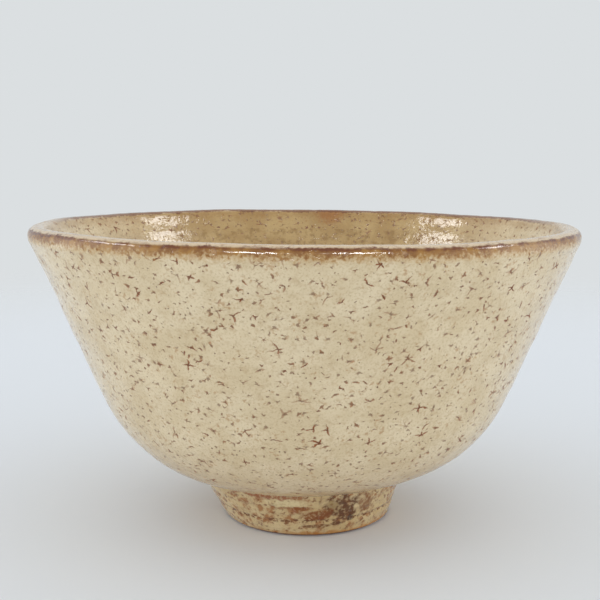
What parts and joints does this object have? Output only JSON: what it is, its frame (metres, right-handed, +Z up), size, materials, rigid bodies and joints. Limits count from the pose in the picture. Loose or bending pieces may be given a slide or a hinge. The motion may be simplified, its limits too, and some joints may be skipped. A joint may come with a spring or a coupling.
{
  "type": "matcha bowl",
  "caption": "Wide, deep stoneware tea bowl with a straight flaring wall, a rounded belly and a narrow turned foot ring, coated inside and out in glossy glaze.",
  "frame": {"origin": "centre of the foot ring's resting edge, on the surface that the bowl stands on", "axes": "+Z up along the bowl's turning axis, from the foot to the mouth; X and Y are alike, and the side seen in front faces -Y"},
  "size_m": [0.15, 0.15, 0.0825],
  "materials": {
    "stoneware_clay": "bare fired stoneware, matte, fine grit",
    "cream_glaze": "glossy cream glaze with small brown crawl marks and pinholes",
    "inner_cream_glaze": "glossy warm cream glaze with pinholes",
    "iron_brown_lip_glaze": "thin glossy glaze stained brown by iron in the clay",
    "rust_patched_foot_glaze": "thin satin glaze with rust-brown patches"
  },
  "bodies": {
    "root": {"clay_bowl": "stoneware_clay", "foot_ring": "stoneware_clay", "outer_glaze": "cream_glaze", "inner_glaze": "inner_cream_glaze", "lip_glaze": "iron_brown_lip_glaze", "foot_glaze": "rust_patched_foot_glaze", "foot_well_glaze": "rust_patched_foot_glaze"}
  },
  "joints": []
}
